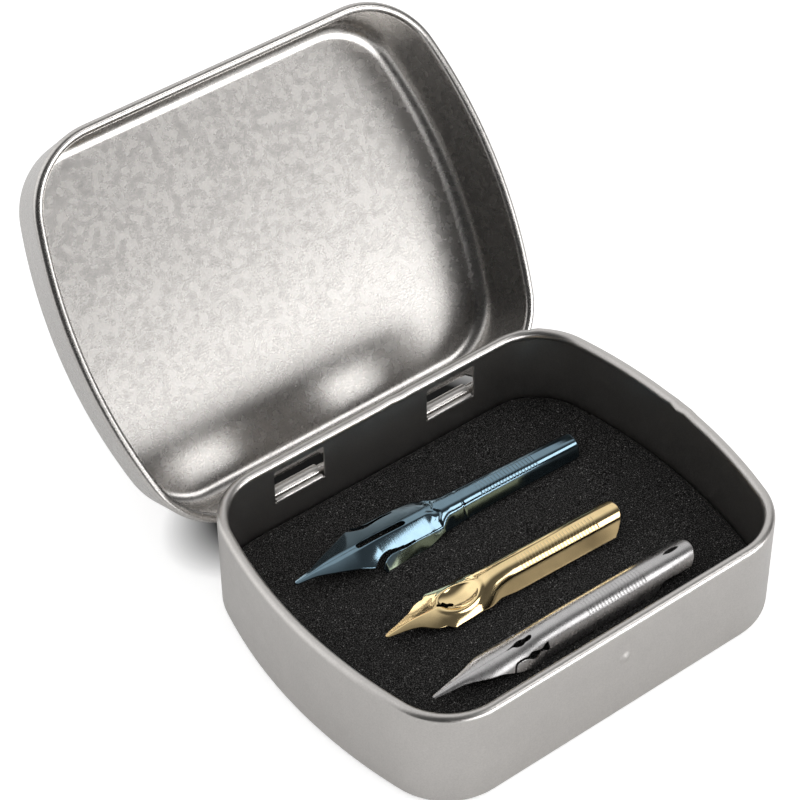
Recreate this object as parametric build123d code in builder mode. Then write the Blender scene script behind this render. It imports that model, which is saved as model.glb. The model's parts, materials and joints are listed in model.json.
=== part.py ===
"""Hinged tin box with a foam bed that holds three dip pen nibs.

Frame: millimetres, +Z up, origin at the centre of the tin's underside.
+X runs along the length of the tin and +Y points to the hinge side.
The lid is drawn closed and is then turned open about the hinge line,
so that it stands as it does when the tin is in use.
"""
from build123d import *
import math
import os

# ---------------------------------------------------------------- driving dimensions, mm and degrees
sheet = 0.25                    # tinplate thickness of both shells

base_length = 60.0              # over the two bowed ends
base_width = 47.5               # over the two straight sides
base_height = 15.0              # underside to the top of the rim roll
end_bow_radius = 67.7           # plan radius of the bowed ends
corner_radius = 9.0             # plan radius of the four corners
base_edge_radius = 1.2          # outside radius round the underside
base_roll_radius = 0.7          # the base's inward roll

lid_overhang = 2.05             # lid rim outside the base wall, all round
lid_headroom = 1.3              # base rim to the inside of the closed lid's top
lid_wall_gap = 0.40             # base wall to the lid wall, level with the base rim
lid_roll_radius = 0.65          # the lid's inward roll, which is the hinge pin at the back
lid_edge_radius = 2.4           # outside radius round the top of the lid
lid_open_angle = 127.2          # from closed to the open stop
lid_side_shift = 0.30           # where the lid lies in its sideways play, towards +X

hinge_height = 6.85             # hinge line above the underside
hinge_wall_gap = 0.55           # base wall to the lid's roll at the back
hinge_run_clearance = 0.06      # radial, lid roll inside the tongue's roll
window_spacing = 23.6           # between the centres of the two hinge windows
window_width = 7.6
window_top = 12.2               # top of the windows above the underside
window_corner = 0.3
tongue_side_gap = 0.25          # window side to tongue
tongue_end_angle = 135.0        # where the tongue's roll ends, up from the far side
tongue_root = 1.0               # length of the tongue's foot in the base wall
slot_width = 14.6               # lid's slots, twice as wide as the tongues that pass through them
slot_height = 6.1               # lid's slot above the hinge line
slot_corner = 1.2

pip_diameter = 2.0              # catch pressed out of the front wall
pip_rise = 0.4
pip_height = 10.0

foam_thickness = 3.05
foam_side_gap = 0.15

nib_sheet = 0.25
nib_rest_gap = 0.1              # nib edge to foam

# Each nib in its own frame, with its tip at the origin and its shank along +X.
# Stations: distance from the tip, outside radius, half wrap in degrees, height of the crown over the foam gap.
blue_stations = [(0.0, 0.40, 38, 1.80), (2.3, 0.97, 38, 2.05), (4.9, 2.50, 38, 2.30), (7.8, 4.20, 37.5, 2.45),
                 (10.2, 5.70, 36, 2.54), (11.3, 4.90, 58, 2.58), (13.0, 4.70, 61, 2.60), (16.5, 4.30, 64, 2.60),
                 (20.0, 2.70, 80, 2.60), (22.5, 1.75, 118, 2.60), (42.2, 1.42, 118, 2.40)]
blue_tip = (-20.6, 12.6)        # where the tip lies over the foam
blue_turn = -2.2                # turn of the shank from +X
blue_slot_start = 9.0
blue_slot_end = 16.2
blue_slot_width = 0.6
blue_gap_line = [(10.6, 3.3), (11.6, 2.85), (13.0, 2.85), (14.6, 3.05), (15.9, 2.85)]
blue_gap_width = 0.4

gold_stations = [(0.0, 0.45, 30, 1.40), (4.0, 2.50, 29, 1.80), (7.0, 6.50, 23.5, 1.62), (8.6, 3.90, 49, 1.60),
                 (12.0, 4.00, 47, 1.75), (15.4, 2.45, 85, 2.60), (18.0, 2.35, 100, 2.80), (34.7, 2.35, 100, 2.80)]
gold_tip = (-17.0, -0.6)
gold_turn = -2.0
gold_ball_radius = 0.42
gold_vent_middle = 8.65
gold_vent_length = 1.7
gold_vent_width = 0.8

grey_stations = [(0.0, 0.40, 38, 1.35), (4.0, 1.60, 32, 1.80), (8.0, 3.30, 37, 1.98), (11.6, 3.00, 64, 2.10),
                 (15.4, 2.45, 91, 2.50), (20.4, 2.43, 96, 2.70), (38.9, 2.43, 98, 2.80)]
grey_tip = (-18.4, -11.4)
grey_turn = -1.2
grey_vent_start = 10.9
grey_vent_end = 14.5
grey_vent_width = 0.7
grey_side_start = 12.5
grey_side_end = 15.9
grey_side_offset = 1.9
grey_side_width = 0.5
grey_tail_hole = 36.3
grey_tail_hole_offset = 0.35
grey_tail_hole_length = 2.3
grey_tail_hole_width = 0.7

# ---------------------------------------------------------------- sizes that follow
half_width = base_width / 2
hinge_y = half_width + hinge_wall_gap + lid_roll_radius
hinge_axis = Axis((0, hinge_y, hinge_height), (1, 0, 0))

lid_middle = (lid_side_shift, hinge_y + lid_roll_radius - half_width - lid_overhang)
lid_wall_height = base_height + lid_headroom + sheet - hinge_height
lid_wall_lean = math.degrees(math.atan2(lid_overhang - sheet - lid_wall_gap, base_height - hinge_height))

roll_mid_radius = lid_roll_radius + hinge_run_clearance + sheet / 2
wall_mid = half_width - sheet / 2
hairpin_radius = (hinge_y - roll_mid_radius - wall_mid) / 2
tongue_width = window_width - 2 * tongue_side_gap
window_centres = (-window_spacing / 2, window_spacing / 2)

foam_top = sheet + foam_thickness
pip_radius = ((pip_diameter / 2) ** 2 + pip_rise ** 2) / (2 * pip_rise)
pip_centre = (0, pip_radius - pip_rise - half_width, pip_height)


def tin_outline(grow):
    """Plan of the tin grown outwards by grow: straight sides, bowed ends, round corners."""
    length = base_length / 2 + grow
    width = base_width / 2 + grow
    bow = end_bow_radius + grow
    end = length - bow + math.sqrt(bow ** 2 - width ** 2)
    with BuildSketch() as plan:
        with BuildLine():
            Line((-end, -width), (end, -width))
            ThreePointArc((end, -width), (length, 0), (end, width))
            Line((end, width), (-end, width))
            ThreePointArc((-end, width), (-length, 0), (-end, -width))
        make_face()
        fillet(plan.vertices(), corner_radius + grow)
    return plan.sketch


def edge_roll(grow, middle, height, radius):
    """Hollow roll of sheet that follows the tin's outline, its axis at this height."""
    path = tin_outline(grow - radius).face().outer_wire().translate((*middle, height))
    with BuildPart() as roll:
        with BuildSketch(Plane(path.location_at(0))):
            Circle(radius)
            Circle(radius - sheet, mode=Mode.SUBTRACT)
        sweep(path=path)
    return roll.part


def tongue_profile():
    """Section of a hinge tongue: up the wall, over a hairpin and round the lid's roll."""
    with BuildSketch() as profile:
        with BuildLine():
            Line((wall_mid, hinge_height - tongue_root), (wall_mid, hinge_height))
            CenterArc((wall_mid + hairpin_radius, hinge_height), hairpin_radius, 180, -180)
            CenterArc((hinge_y, hinge_height), roll_mid_radius, 180, 180 + tongue_end_angle)
        trace(line_width=sheet)
    return profile.sketch


# ---------------------------------------------------------------- base shell
with BuildPart() as base_hollow:
    with BuildSketch(Plane.XY.offset(sheet)):
        add(tin_outline(-sheet))
    extrude(amount=base_height)
    fillet(base_hollow.faces().sort_by(Axis.Z)[0].edges(), base_edge_radius - sheet)

with BuildPart() as base_shell:
    with BuildSketch():
        add(tin_outline(0))
    extrude(amount=base_height - base_roll_radius)
    fillet(base_shell.faces().sort_by(Axis.Z)[0].edges(), base_edge_radius)
    with Locations(pip_centre):
        Sphere(pip_radius)
    add(base_hollow.part, mode=Mode.SUBTRACT)
    with Locations(pip_centre):
        Sphere(pip_radius - sheet, mode=Mode.SUBTRACT)
    add(edge_roll(0, (0, 0), base_height - base_roll_radius, base_roll_radius))
    with BuildSketch(Plane.XZ.offset(-half_width)) as windows:
        for centre in window_centres:
            with Locations((centre, (window_top + hinge_height) / 2)):
                Rectangle(window_width, window_top - hinge_height)
        fillet(windows.vertices().group_by(Axis.Z)[-1], window_corner)
    extrude(amount=sheet, mode=Mode.SUBTRACT)
    for centre in window_centres:
        with BuildSketch(Plane.YZ.offset(centre)):
            add(tongue_profile())
        extrude(amount=tongue_width / 2, both=True)
base_shell.part.label = "base_shell"

# ---------------------------------------------------------------- lid shell, drawn closed
with BuildPart() as lid_hollow:
    with BuildSketch(Plane.XY.offset(hinge_height)):
        with Locations(lid_middle):
            add(tin_outline(lid_overhang - sheet))
    extrude(amount=lid_wall_height - sheet, taper=lid_wall_lean)
    fillet(lid_hollow.faces().sort_by(Axis.Z)[-1].edges(), lid_edge_radius - sheet)

with BuildPart() as lid_shell:
    with BuildSketch(Plane.XY.offset(hinge_height)):
        with Locations(lid_middle):
            add(tin_outline(lid_overhang))
    extrude(amount=lid_wall_height, taper=lid_wall_lean)
    fillet(lid_shell.faces().sort_by(Axis.Z)[-1].edges(), lid_edge_radius)
    add(lid_hollow.part, mode=Mode.SUBTRACT)
    with BuildSketch(Plane.XZ.offset(-half_width)) as slots:
        for centre in window_centres:
            with Locations((centre + lid_side_shift, hinge_height)):
                Rectangle(slot_width, 2 * slot_height)
        fillet(slots.vertices(), slot_corner)
    extrude(amount=-lid_overhang, mode=Mode.SUBTRACT)
    add(edge_roll(lid_overhang, lid_middle, hinge_height, lid_roll_radius))
lid_open = lid_shell.part.rotate(hinge_axis, -lid_open_angle)
lid_open.label = "lid_shell"

# ---------------------------------------------------------------- foam bed
with BuildPart() as foam_pad:
    with BuildSketch(Plane.XY.offset(sheet)):
        add(tin_outline(-sheet - foam_side_gap))
    extrude(amount=foam_thickness)
    fillet(foam_pad.faces().sort_by(Axis.Z)[0].edges(), base_edge_radius - sheet)
foam_pad.part.label = "foam_pad"


# ---------------------------------------------------------------- nibs
def nib_section(station):
    """Arched strip of sheet across the nib at one station."""
    along, radius, wrap, crown = station
    centre = (0, crown - radius)
    with BuildSketch(Plane.YZ.offset(along)) as section:
        with BuildLine():
            outside = CenterArc(centre, radius, 90 - wrap, 2 * wrap)
            inside = CenterArc(centre, radius - nib_sheet, 90 - wrap, 2 * wrap)
            Line(outside @ 0, inside @ 0)
            Line(outside @ 1, inside @ 1)
        make_face()
    return section.sketch


def nib_blank(stations):
    """Formed sheet of a nib before it is pierced, tip at the origin."""
    with BuildPart() as blank:
        for first, second in zip(stations, stations[1:]):
            loft([nib_section(first), nib_section(second)], ruled=True)
    return blank.part


def placed(nib, tip, turn):
    """The nib on the foam with its tip at this place and its tail turned from +X."""
    return nib.rotate(Axis.Z, turn).translate((tip[0], tip[1], foam_top + nib_rest_gap))


cut_height = base_height        # above every crown

with BuildPart() as blue_nib:
    add(nib_blank(blue_stations))
    with BuildSketch():
        with Locations(((blue_slot_start + blue_slot_end) / 2, 0)):
            SlotOverall(blue_slot_end - blue_slot_start, blue_slot_width)
        for side in (-1, 1):
            with BuildLine():
                Spline([(along, side * offset) for along, offset in blue_gap_line])
            trace(line_width=blue_gap_width)
    extrude(amount=cut_height, mode=Mode.SUBTRACT)
nib_blue = placed(blue_nib.part, blue_tip, blue_turn)
nib_blue.label = "nib_blue"

with BuildPart() as gold_nib:
    add(nib_blank(gold_stations))
    with Locations((0, 0, gold_stations[0][3] - gold_stations[0][1])):
        Sphere(gold_ball_radius)
    with BuildSketch():
        with Locations((gold_vent_middle, 0)):
            SlotOverall(gold_vent_length, gold_vent_width)
    extrude(amount=cut_height, mode=Mode.SUBTRACT)
nib_gold = placed(gold_nib.part, gold_tip, gold_turn)
nib_gold.label = "nib_gold"

with BuildPart() as grey_nib:
    add(nib_blank(grey_stations))
    with BuildSketch():
        with Locations(((grey_vent_start + grey_vent_end) / 2, 0)):
            SlotOverall(grey_vent_end - grey_vent_start, grey_vent_width)
        for side in (-1, 1):
            with Locations(((grey_side_start + grey_side_end) / 2, side * grey_side_offset)):
                SlotOverall(grey_side_end - grey_side_start, grey_side_width)
        with Locations((grey_tail_hole, grey_tail_hole_offset)):
            SlotOverall(grey_tail_hole_length, grey_tail_hole_width)
    extrude(amount=cut_height, mode=Mode.SUBTRACT)
nib_grey = placed(grey_nib.part, grey_tip, grey_turn)
nib_grey.label = "nib_grey"

# ---------------------------------------------------------------- write the parts
os.makedirs("parts", exist_ok=True)
export_step(base_shell.part, "parts/base_shell.step")
export_step(lid_open, "parts/lid_shell.step")
export_step(foam_pad.part, "parts/foam_pad.step")
export_step(nib_blue, "parts/nib_blue.step")
export_step(nib_gold, "parts/nib_gold.step")
export_step(nib_grey, "parts/nib_grey.step")
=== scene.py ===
"""Hinged tin with a foam bed and three dip pen nibs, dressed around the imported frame.

Laid out as a Blender add-on and run as a script. Each operator makes one piece, or the stage, and
main() calls them in order. Lengths are metres in the part's own frame: +X along the tin, +Y towards
the hinge, +Z up, origin under the middle of the tin.
"""
import json
import math

import bmesh
import bpy
from mathutils import Matrix, Vector, noise


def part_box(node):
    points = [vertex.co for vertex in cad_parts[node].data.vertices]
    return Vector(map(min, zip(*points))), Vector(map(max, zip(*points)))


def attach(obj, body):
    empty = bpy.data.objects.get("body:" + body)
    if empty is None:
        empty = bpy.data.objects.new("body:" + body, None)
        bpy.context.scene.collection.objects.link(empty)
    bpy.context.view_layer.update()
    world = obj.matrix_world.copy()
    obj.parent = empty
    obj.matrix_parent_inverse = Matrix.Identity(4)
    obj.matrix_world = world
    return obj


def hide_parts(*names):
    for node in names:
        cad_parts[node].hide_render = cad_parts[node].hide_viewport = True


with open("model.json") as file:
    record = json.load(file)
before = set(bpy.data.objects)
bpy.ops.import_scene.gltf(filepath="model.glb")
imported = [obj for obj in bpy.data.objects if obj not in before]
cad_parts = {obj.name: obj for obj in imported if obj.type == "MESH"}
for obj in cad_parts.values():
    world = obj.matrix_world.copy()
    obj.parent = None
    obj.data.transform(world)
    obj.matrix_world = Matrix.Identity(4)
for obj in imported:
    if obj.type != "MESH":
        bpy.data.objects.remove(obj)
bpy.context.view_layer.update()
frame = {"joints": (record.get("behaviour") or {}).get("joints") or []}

bl_info = {
    "name": "Nib Tin",
    "version": (1, 0, 0),
    "blender": (4, 5, 0),
    "location": "3D View > Sidebar > Nib Tin",
    "description": "Builds a hinged tin with a foam bed and three dip pen nibs",
    "category": "Object",
}

MM = 0.001
hinge = next(joint for joint in frame["joints"] if joint["name"] == "lid_hinge")
HINGE_Y, HINGE_Z = hinge["pos_m"][1:]
OPEN_ANGLE = math.radians(hinge["range_deg"][1])
# The floor under the hinge gets painted shade, dark where the shadow under the open lid would be.
HINGE_PAINTED_SHADE = HINGE_Y + 4 * MM  # middle of the dark patch painted on the floor, not a shadow
BASE_LOW, BASE_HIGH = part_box("base_shell")
LID_LOW, LID_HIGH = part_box("lid_shell")
FOAM_LOW, FOAM_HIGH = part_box("foam_pad")


# ---------------------------------------------------------------- sizes and finishes that a user may change
def length(name, description, default):
    """A property that holds one length."""
    return bpy.props.FloatProperty(name=name, description=description, default=default, precision=5,
                                   unit="LENGTH", subtype="DISTANCE")


def tint(name, description, default):
    """A property that holds one linear colour."""
    return bpy.props.FloatVectorProperty(name=name, description=description, default=default, size=3,
                                         min=0.0, max=1.0, subtype="COLOR")


class TinSizes(bpy.types.PropertyGroup):
    sheet: length("Sheet", "Thickness of the tinplate", FOAM_LOW.z)
    foam_gap: length("Foam gap", "Wall to foam", 0.15 * MM)
    bow_radius: length("Bow radius", "Plan radius of the bowed ends", 67.7 * MM)
    corner_radius: length("Corner radius", "Plan radius of the corners", 9.0 * MM)
    edge_radius: length("Bottom edge radius", "Round between the tin's bottom and wall", 1.2 * MM)
    roll_radius: length("Rim roll radius", "Outside radius of the tin's inward roll", 0.7 * MM)
    lid_overhang: length("Lid overhang", "Lid rim outside the tin's wall", 2.05 * MM)
    lid_height: length("Lid height", "Hinge line to the top of the closed lid", 9.7 * MM)
    lid_wall_gap: length("Lid wall gap", "Tin wall to lid wall at the tin's rim", 0.40 * MM)
    lid_edge_radius: length("Lid edge radius", "Round between the lid's top and wall", 2.4 * MM)
    lid_roll_radius: length("Lid roll radius", "Outside radius of the lid's inward roll", 0.65 * MM)
    window_spacing: length("Window spacing", "Between the two hinge windows", 23.6 * MM)
    window_width: length("Window width", "Width of a hinge window", 7.6 * MM)
    window_top: length("Window top", "Underside of the tin to the top of a window", 12.2 * MM)
    window_corner: length("Window corner", "Round in a window's corners", 0.3 * MM)
    tongue_gap: length("Tongue gap", "Window side to hinge tongue", 0.25 * MM)
    run_clearance: length("Run clearance", "Lid roll inside the tongue's roll", 0.06 * MM)
    slot_width: length("Slot width", "Width of a slot in the lid's back wall", 14.6 * MM)
    slot_height: length("Slot height", "Lid's slot above the hinge line", 6.1 * MM)
    slot_corner: length("Slot corner", "Round in a slot's corners", 1.2 * MM)
    pip_height: length("Catch height", "Underside of the tin to the catch pip", 10.0 * MM)
    pip_radius: length("Catch radius", "Half the width of the catch pip", 1.0 * MM)
    pip_rise: length("Catch rise", "Catch pip out of the front wall", 0.28 * MM)


class NibSizes(bpy.types.PropertyGroup):
    sheet: length("Nib sheet", "Thickness of the nib steel", 0.25 * MM)
    rest_gap: length("Rest gap", "Nib edge to foam", 0.1 * MM)


class Finishes(bpy.types.PropertyGroup):
    tinplate: tint("Tinplate", "Colour of the bare tinplate", (0.56, 0.54, 0.52))
    foam: tint("Foam", "Colour of the foam", (0.012, 0.012, 0.012))
    blued: tint("Blued steel", "Colour of the blued nib", (0.19, 0.28, 0.34))
    gilt: tint("Gilt brass", "Colour of the gilt nib", (0.90, 0.70, 0.38))
    steel: tint("Plain steel", "Colour of the plain nib", (0.55, 0.54, 0.54))


class StageLook(bpy.types.PropertyGroup):
    floor_size: length("Floor size", "Side of the square floor", 3.0)
    azimuth: bpy.props.FloatProperty(name="View azimuth", description="Turn of the view from along +Y",
                                     default=math.radians(-37.3), subtype="ANGLE")
    elevation: bpy.props.FloatProperty(name="View elevation", description="Height of the view",
                                       default=math.radians(43.65), subtype="ANGLE")
    roll: bpy.props.FloatProperty(name="View roll", description="Tilt of the camera about its own line",
                                  default=math.radians(-0.516), subtype="ANGLE")
    eye: bpy.props.FloatVectorProperty(name="Eye", description="Where the camera stands", size=3,
                                       default=(-0.15005, -0.17841, 0.25524), subtype="XYZ", unit="LENGTH")
    lens: bpy.props.FloatProperty(name="Lens", description="Focal length in millimetres on a 36 mm sensor",
                                  default=126.9)


# ---------------------------------------------------------------- drawing and forming sheet
class Pen:
    """Draws a section as one line of edges across the back wall, from one vertex on."""

    def __init__(self, start):
        self.bm = bmesh.new()
        self.tip = bmesh.ops.create_vert(self.bm, co=start)["vert"][0]

    def line(self, end, steps=1):
        """A straight to this point."""
        stride = (Vector(end) - self.tip.co) / steps
        for _ in range(steps):
            self.tip = bmesh.ops.extrude_vert_indiv(self.bm, verts=[self.tip])["verts"][0]
            bmesh.ops.translate(self.bm, verts=[self.tip], vec=stride)

    def arc(self, y, z, degrees, steps):
        """A bend about the centre at this y and z, positive from +Y towards +Z."""
        made = bmesh.ops.spin(self.bm, geom=[self.tip], cent=(self.tip.co.x, y, z), axis=(1, 0, 0),
                              dvec=(0, 0, 0), angle=math.radians(degrees), steps=steps)
        self.tip = next(v for v in made["geom_last"] if isinstance(v, bmesh.types.BMVert))


def carry(bm, lead, steps, centre=(0, 0, 0), angle=0.0, shift=(0, 0, 0)):
    """Draws the leading edges on, round a vertical line or straight, and gives the new lead."""
    made = bmesh.ops.spin(bm, geom=lead, cent=centre, axis=(0, 0, 1), dvec=Vector(shift) / steps,
                          angle=angle, steps=steps)
    return made["geom_last"]


class Plan:
    """The tin's plan: straight sides, bowed ends and round corners, and where their arcs turn."""
    straight_steps = 24
    corner_steps = 20
    bow_steps = 26

    def __init__(self, tin):
        self.half_length = BASE_HIGH.x
        self.half_width = FOAM_HIGH.y + tin.foam_gap + tin.sheet
        reach = tin.bow_radius - tin.corner_radius
        self.corner_y = self.half_width - tin.corner_radius
        self.bow_x = self.half_length - tin.bow_radius
        self.corner_x = self.bow_x + math.sqrt(reach ** 2 - self.corner_y ** 2)
        self.bow_angle = math.asin(self.corner_y / reach)

    def run_round(self, bm):
        """Carries the section, drawn at the left end of the back wall, right round the plan."""
        lead = bm.verts[:] + bm.edges[:]
        corner = self.bow_angle - math.pi / 2
        for side in (1, -1):
            x, y = side * self.corner_x, side * self.corner_y
            lead = carry(bm, lead, self.straight_steps, shift=(2 * x, 0, 0))
            lead = carry(bm, lead, self.corner_steps, centre=(x, y, 0), angle=corner)
            lead = carry(bm, lead, self.bow_steps, centre=(side * self.bow_x, 0, 0),
                         angle=-2 * self.bow_angle)
            lead = carry(bm, lead, self.corner_steps, centre=(x, -y, 0), angle=corner)
        bmesh.ops.remove_doubles(bm, verts=bm.verts, dist=0.002 * MM)


def close_hole(bm):
    """Closes the open loop that the section's first vertex leaves in the middle of the tin."""
    middle = min(bm.verts, key=lambda v: Vector((v.co.x, v.co.y)).length)
    rim = [e for e in bm.edges if e.is_boundary and abs(e.verts[0].co.z - middle.co.z) < 0.01 * MM
           and abs(e.verts[1].co.z - middle.co.z) < 0.01 * MM]
    bmesh.ops.edgeloop_fill(bm, edges=rim)


def as_object(bm, name):
    """The bmesh as an object in the scene."""
    mesh = bpy.data.meshes.new(name)
    bm.to_mesh(mesh)
    bm.free()
    made = bpy.data.objects.new(name, mesh)
    bpy.context.scene.collection.objects.link(made)
    return made


def apply_modifiers(piece):
    """Leaves the piece with the mesh that its modifiers give."""
    graph = bpy.context.evaluated_depsgraph_get()
    old = piece.data
    piece.data = bpy.data.meshes.new_from_object(piece.evaluated_get(graph))
    piece.modifiers.clear()
    bpy.data.meshes.remove(old)


def thickened(bm, thickness, offset):
    """The surface given the thickness of its sheet, as a new bmesh: offset -1 grows it inwards."""
    bmesh.ops.recalc_face_normals(bm, faces=bm.faces)
    blank = as_object(bm, "blank")
    wall = blank.modifiers.new("Sheet", "SOLIDIFY")
    wall.thickness = thickness
    wall.offset = offset
    wall.use_even_offset = True
    apply_modifiers(blank)
    made = bmesh.new()
    made.from_mesh(blank.data)
    remove(blank)
    return made


def remove(piece):
    """Deletes an object and its mesh."""
    mesh = piece.data
    bpy.data.objects.remove(piece)
    bpy.data.meshes.remove(mesh)


def slice_faces(bm, faces, axis, place):
    """Cuts these faces by a plane across this axis."""
    normal, point = Vector((0, 0, 0)), Vector((0, 0, 0))
    normal[axis], point[axis] = 1, place
    parts = set(faces) | {e for f in faces for e in f.edges} | {v for f in faces for v in f.verts}
    bmesh.ops.bisect_plane(bm, geom=list(parts), dist=0.001 * MM, plane_co=point, plane_no=normal)


def cut_opening(bm, low, high):
    """Takes a rectangle, given by two corners in X and Z, out of the back wall."""
    for axis, corner in ((0, low), (0, high), (2, low), (2, high)):
        near = [f for f in bm.faces if f.calc_center_median().y > 0
                and low.x - 3 * MM < f.calc_center_median().x < high.x + 3 * MM]
        slice_faces(bm, near, axis, corner[axis])
    inside = [f for f in bm.faces if f.calc_center_median().y > 0
              and low.x < f.calc_center_median().x < high.x
              and low.z < f.calc_center_median().z < high.z]
    bmesh.ops.delete(bm, geom=inside, context="FACES")


def round_corners(bm, low, high, radius):
    """Rounds the two top corners of an opening in a wall that has its thickness."""
    near = 0.02 * MM
    edges = [e for e in bm.edges
             if min(abs(e.verts[0].co.x - x) for x in (low.x, high.x)) < near
             and min(abs(e.verts[1].co.x - x) for x in (low.x, high.x)) < near
             and all(abs(v.co.z - high.z) < 3 * near + 0.05 * MM and v.co.y > 0 for v in e.verts)
             and abs(e.verts[0].co.x - e.verts[1].co.x) < near
             and abs(e.verts[0].co.y - e.verts[1].co.y) > near]
    bmesh.ops.bevel(bm, geom=edges, offset=radius, affect="EDGES", segments=6, profile=0.5, material=-1)


def finish_metal(piece, body, material, bevel, nodes, sharp=38):
    """Softens a formed metal piece's edges, shades it, and hangs it on its body."""
    piece.data.materials.append(material)
    piece.data.shade_smooth()
    edge = piece.modifiers.new("Edges", "BEVEL")
    edge.width = bevel
    edge.segments = 2
    edge.limit_method = "ANGLE"
    edge.angle_limit = math.radians(sharp)
    edge.harden_normals = False
    apply_modifiers(piece)
    piece.data.shade_smooth()
    piece.data.set_sharp_from_angle(angle=math.radians(sharp))
    even = piece.modifiers.new("Even normals", "WEIGHTED_NORMAL")
    even.keep_sharp = True
    apply_modifiers(piece)
    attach(piece, body)
    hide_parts(*nodes)


# ---------------------------------------------------------------- the tin
def window_boxes(tin, width, bottom, top, shift=0.0):
    """The two corners, in X and Z, of each hinge opening."""
    for side in (-1, 1):
        x = side * tin.window_spacing / 2 + shift
        yield Vector((x - width / 2, 0, bottom)), Vector((x + width / 2, 0, top))


def base_wall(tin, plan):
    """The drawn tin as one surface: bottom, wall and inward roll."""
    x, y, top = -plan.corner_x, plan.half_width, BASE_HIGH.z
    roll = tin.roll_radius
    pen = Pen((x, y - tin.edge_radius - 0.6 * MM, 0))
    pen.line((x, y - tin.edge_radius, 0))
    pen.arc(y - tin.edge_radius, tin.edge_radius, 90, 8)
    pen.line((x, y, tin.edge_radius + 0.4 * MM))
    pen.line((x, y, top - roll - 0.4 * MM), 5)
    pen.line((x, y, top - roll))
    pen.arc(y - roll, top - roll, 285, 24)
    plan.run_round(pen.bm)
    close_hole(pen.bm)
    return pen.bm


def press_catch(bm, tin, plan):
    """Presses the catch pip out of the front wall."""
    reach = 1.5 * tin.pip_radius
    for axis, place in ((0, -reach), (0, reach), (2, tin.pip_height - reach), (2, tin.pip_height + reach)):
        front = [f for f in bm.faces if f.calc_center_median().y < -plan.half_width + 0.01 * MM]
        slice_faces(bm, front, axis, place)

    def inside(point):
        return abs(point.x) < reach and abs(point.z - tin.pip_height) < reach and point.y < 0

    patch = [f for f in bm.faces if inside(f.calc_center_median())]
    edges = list({e for f in patch for e in f.edges})
    bmesh.ops.subdivide_edges(bm, edges=edges, cuts=11, use_grid_fill=True)
    for v in bm.verts:
        away = Vector((v.co.x, v.co.z - tin.pip_height)).length
        if v.co.y < -plan.half_width + 0.01 * MM and away < tin.pip_radius:
            v.co.y -= tin.pip_rise * bell(away / tin.pip_radius)


def hinge_tongue(tin, plan, low, high):
    """One tongue: up from the window's foot, over a hairpin and round the lid's roll."""
    wall = plan.half_width - tin.sheet / 2
    roll = tin.lid_roll_radius + tin.run_clearance + tin.sheet / 2
    hairpin = (HINGE_Y - roll - wall) / 2
    pen = Pen((low.x + tin.tongue_gap, wall, HINGE_Z))
    pen.arc(wall + hairpin, HINGE_Z, -180, 12)
    pen.arc(HINGE_Y, HINGE_Z, 315, 40)
    width = high.x - low.x - 2 * tin.tongue_gap
    bmesh.ops.spin(pen.bm, geom=pen.bm.verts[:] + pen.bm.edges[:], cent=(0, 0, 0), axis=(0, 0, 1),
                   dvec=(width / 4, 0, 0), angle=0.0, steps=4)
    return thickened(pen.bm, tin.sheet, 0)


def dent_rim(bm, middle, reach, depth, normal):
    """Pushes a small dent into the rim roll round this point."""
    for v in bm.verts:
        away = (v.co - middle).length / reach
        if away < 1:
            v.co += normal * depth * (1 - away ** 2) ** 2 * math.cos(away * 5.0)


# Small dents in the rim, in millimetres: where, how far round, how deep, and which way.
RIM_DENTS = [((28.9, -0.2, 14.6), 2.6, 0.22, (-0.8, 0, -0.6)),
             ((23.5, 22.4, 14.8), 2.4, 0.12, (0, -0.7, -0.7)),
             ((2.8, 22.9, 14.5), 2.6, 0.16, (0, -0.7, -0.7))]


def make_base_shell(tin, material):
    plan = Plan(tin)
    wall = base_wall(tin, plan)
    press_catch(wall, tin, plan)
    for middle, reach, depth, way in RIM_DENTS:
        dent_rim(wall, Vector(middle) * MM, reach * MM, depth * MM, Vector(way))
    windows = list(window_boxes(tin, tin.window_width, HINGE_Z, tin.window_top))
    for low, high in windows:
        cut_opening(wall, low, high)
    shell = thickened(wall, tin.sheet, -1)
    for low, high in windows:
        round_corners(shell, low, high, tin.window_corner)
        tongue = as_object(hinge_tongue(tin, plan, low, high), "tongue")
        shell.from_mesh(tongue.data)
        remove(tongue)
    piece = as_object(shell, "tin_base")
    finish_metal(piece, "base", material, 0.03 * MM, ["base_shell"])


def lid_section(tin, plan):
    """The closed lid's section: top, round edge, leaning wall and inward roll."""
    x, top = -plan.corner_x, HINGE_Z + tin.lid_height
    rise = BASE_HIGH.z - HINGE_Z
    lean = math.atan2(tin.lid_overhang - tin.sheet - tin.lid_wall_gap, rise)
    rim = plan.half_width + tin.lid_overhang
    edge, roll = tin.lid_edge_radius, tin.lid_roll_radius
    edge_y = rim - (tin.lid_height - edge) * math.tan(lean) - edge / math.cos(lean)
    pen = Pen((x, edge_y - 0.8 * MM, top))
    pen.line((x, edge_y, top))
    pen.arc(edge_y, top - edge, math.degrees(lean) - 90, 14)
    start = Vector((x, rim - roll + roll * math.cos(lean), HINGE_Z + roll * math.sin(lean)))
    down = (start - pen.tip.co).normalized()
    pen.line(pen.tip.co + down * 0.4 * MM)
    pen.line(start - down * 0.4 * MM, 5)
    pen.line(start)
    pen.arc(rim - roll, HINGE_Z, -285, 24)
    return pen.bm


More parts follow.
